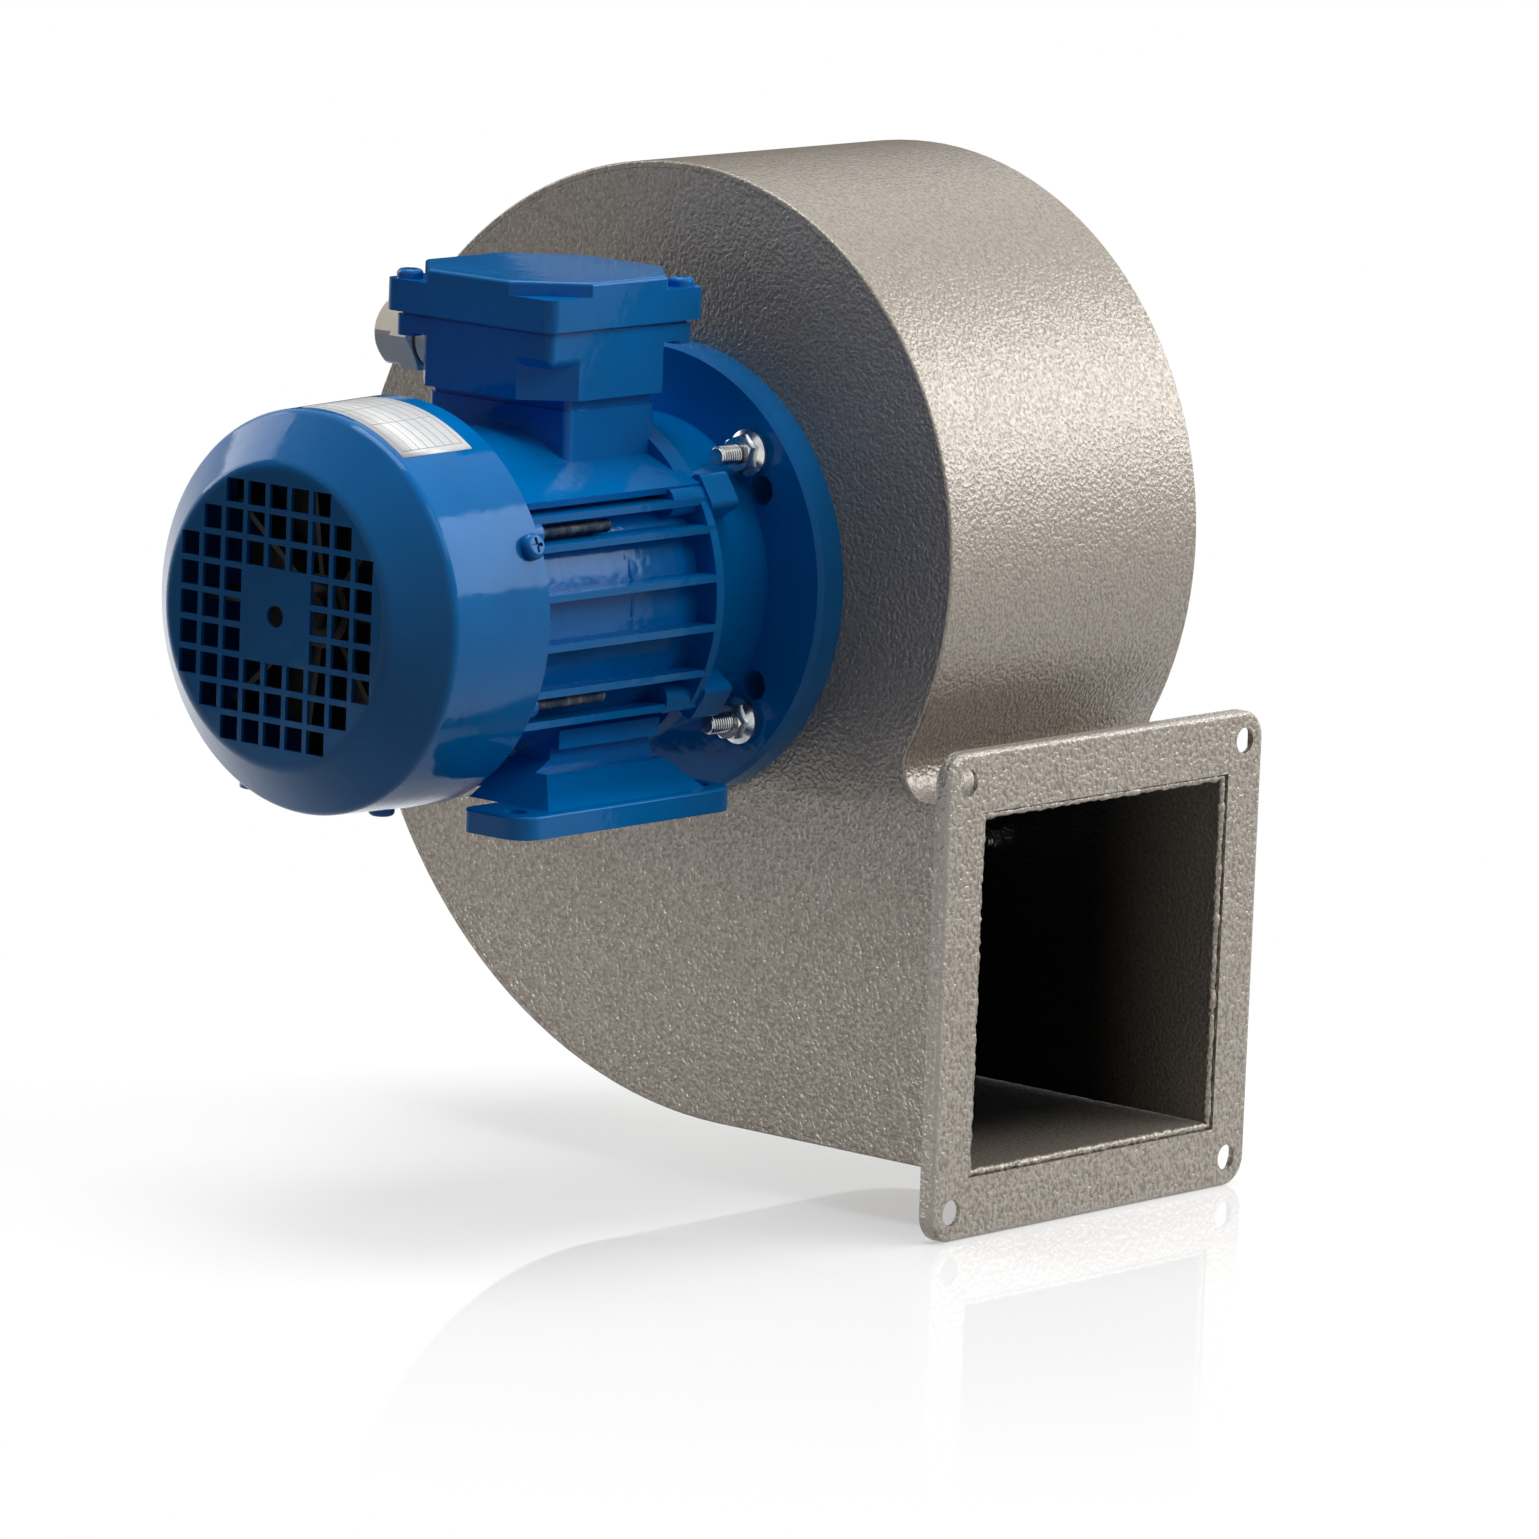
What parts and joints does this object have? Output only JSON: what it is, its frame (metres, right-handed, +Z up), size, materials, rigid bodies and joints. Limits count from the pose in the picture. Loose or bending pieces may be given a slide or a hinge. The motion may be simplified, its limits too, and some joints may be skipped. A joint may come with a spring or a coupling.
{
  "type": "centrifugal fan",
  "caption": "Direct-drive centrifugal fan: sheet-metal volute casing with a square outlet flange, forward-curved wheel, and a foot-and-flange motor with terminal box.",
  "frame": {"origin": "middle of the motor's four foot holes, on the plane that the feet stand on", "axes": "+Z up from the feet, +Y along the shaft from the motor to the inlet, +X out of the outlet"},
  "size_m": [0.2604, 0.3034, 0.3103],
  "materials": {
    "casing_paint": "hammer-effect stove enamel on sheet steel",
    "motor_paint": "glossy enamel on cast aluminium and pressed steel",
    "zinc_steel": "bright zinc plate",
    "galvanised_sheet": "galvanised sheet",
    "bright_steel": "ground steel",
    "electrical_steel": "stacked laminations",
    "cast_aluminium": "machined casting",
    "varnished_copper": "varnished winding",
    "black_plastic": "moulded",
    "gland_plastic": "moulded",
    "board_plastic": "moulded",
    "brass": "turned",
    "seal_rubber": "moulded"
  },
  "bodies": {
    "fan_housing": {"scroll_wrap": "casing_paint", "motor_side_plate": "casing_paint", "inlet_side_plate": "casing_paint", "inlet_ring": "casing_paint", "outlet_flange": "casing_paint", "drive_end_flange": "motor_paint", "motor_frame": "motor_paint", "foot_right": "motor_paint", "foot_left": "motor_paint", "non_drive_end_shield": "motor_paint", "fan_cover": "motor_paint", "terminal_box_base": "motor_paint", "terminal_box_lid": "motor_paint", "terminal_box_lid_screws": "motor_paint", "drive_end_screws": "motor_paint", "fan_cover_screws": "motor_paint", "flange_bolts": "zinc_steel", "flange_washers": "zinc_steel", "flange_nuts": "zinc_steel", "inlet_ring_screws": "zinc_steel", "inlet_weld_nuts": "zinc_steel", "foot_screws": "zinc_steel", "non_drive_end_screws": "zinc_steel", "drive_end_bearing_outer_race": "bright_steel", "non_drive_end_bearing_outer_race": "bright_steel", "bearing_preload_spring": "bright_steel", "stator_core": "electrical_steel", "stator_winding": "varnished_copper", "cable_gland_body": "gland_plastic", "cable_gland_nut": "gland_plastic", "terminal_board": "board_plastic", "terminal_studs": "brass", "terminal_box_gasket": "seal_rubber", "cable_gland_seal": "seal_rubber", "cable_gland_insert": "seal_rubber", "shaft_seal": "seal_rubber"},
    "rotor": {"motor_shaft": "bright_steel", "shaft_key": "bright_steel", "rotor_core": "electrical_steel", "drive_end_bearing_inner_race": "bright_steel", "non_drive_end_bearing_inner_race": "bright_steel", "cooling_fan": "black_plastic", "cooling_fan_clip": "bright_steel", "wheel_hub": "cast_aluminium", "wheel_back_plate": "galvanised_sheet", "wheel_blades": "galvanised_sheet", "wheel_front_ring": "galvanised_sheet", "wheel_rivets": "cast_aluminium", "wheel_washer": "zinc_steel", "wheel_screw": "zinc_steel"},
    "drive_end_ball_set": {"drive_end_bearing_balls": "bright_steel", "drive_end_bearing_cage": "bright_steel"},
    "non_drive_end_ball_set": {"non_drive_end_bearing_balls": "bright_steel", "non_drive_end_bearing_cage": "bright_steel"}
  },
  "joints": [
    {"name": "rotor_spin", "type": "hinge", "parent": "fan_housing", "child": "rotor", "pos_m": [0, 0, 0.063], "axis": [0, -1, 0], "continuous": true},
    {"name": "drive_end_balls_spin", "type": "hinge", "parent": "fan_housing", "child": "drive_end_ball_set", "pos_m": [0, 0, 0.063], "axis": [0, -1, 0], "continuous": true},
    {"name": "non_drive_end_balls_spin", "type": "hinge", "parent": "fan_housing", "child": "non_drive_end_ball_set", "pos_m": [0, 0, 0.063], "axis": [0, -1, 0], "continuous": true}
  ],
  "couplings": [
    {"joint": "drive_end_balls_spin", "follows": "rotor_spin", "ratio": 0.3909},
    {"joint": "non_drive_end_balls_spin", "follows": "rotor_spin", "ratio": 0.3909}
  ]
}
